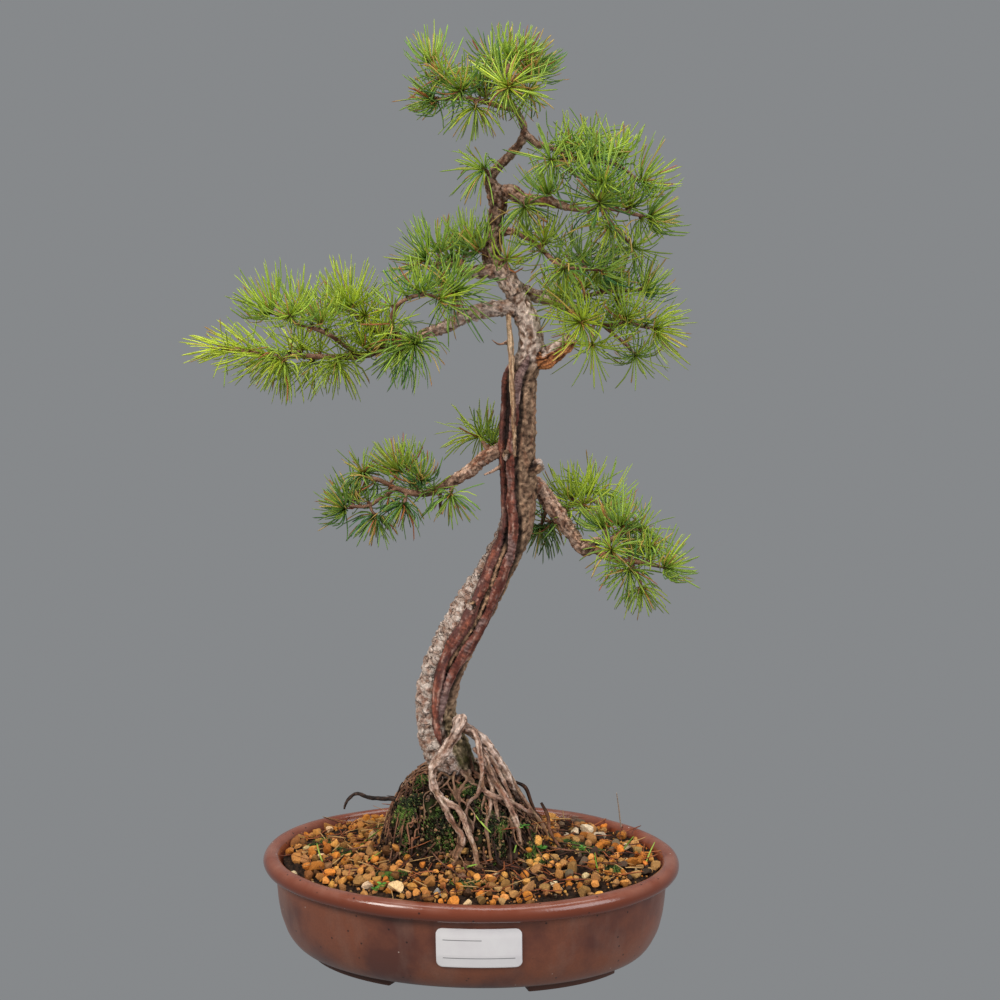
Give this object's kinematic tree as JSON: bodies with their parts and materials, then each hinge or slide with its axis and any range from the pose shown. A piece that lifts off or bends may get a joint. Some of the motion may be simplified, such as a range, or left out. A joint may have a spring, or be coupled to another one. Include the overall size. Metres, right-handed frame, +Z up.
{
  "type": "european larch bonsai in an oval pot",
  "caption": "Bonsai larch with a bent, hollow-fronted trunk, exposed roots and open tufts of needles, standing in soil in a brown glazed oval pot with low feet.",
  "frame": {"origin": "middle of the whole object's box on the surface that the pot's feet stand on", "axes": "+Z up along the trunk, the pot's length along X, and the front of the tree towards -Y"},
  "size_m": [0.3212, 0.198, 0.595],
  "materials": {
    "glaze": "satin brown glaze with small specks",
    "screen": "moulded net",
    "label": "smooth white with printed rules",
    "soil": "baked-clay grains, dark humus and moss",
    "bark": "flaky bark with smooth reddish rolls",
    "needles": "soft satin green needles"
  },
  "bodies": {
    "root": {"pot": "glaze", "drain_screen_left": "screen", "drain_screen_right": "screen", "plant_label": "label", "soil": "soil", "tree": "bark", "spray_apex_right": "needles", "spray_apex_left": "needles", "spray_leader_left": "needles", "spray_shoulder_upper": "needles", "spray_shoulder_lower": "needles", "spray_shoulder_near": "needles", "spray_inner_right": "needles", "spray_trunk_left": "needles", "spray_trunk_right": "needles", "spray_crown_right_front": "needles", "spray_crown_right_back": "needles", "spray_long_branch_end": "needles", "spray_long_branch_crest": "needles", "spray_long_branch_near": "needles", "spray_inner_left": "needles", "spray_inner_left_face": "needles", "spray_long_branch_sprig": "needles", "spray_low_left_end": "needles", "spray_low_left_near": "needles", "spray_low_left_back": "needles", "spray_low_right_end": "needles", "spray_low_right_crest": "needles", "spray_low_right_back": "needles", "spray_low_right_under": "needles"}
  },
  "joints": []
}
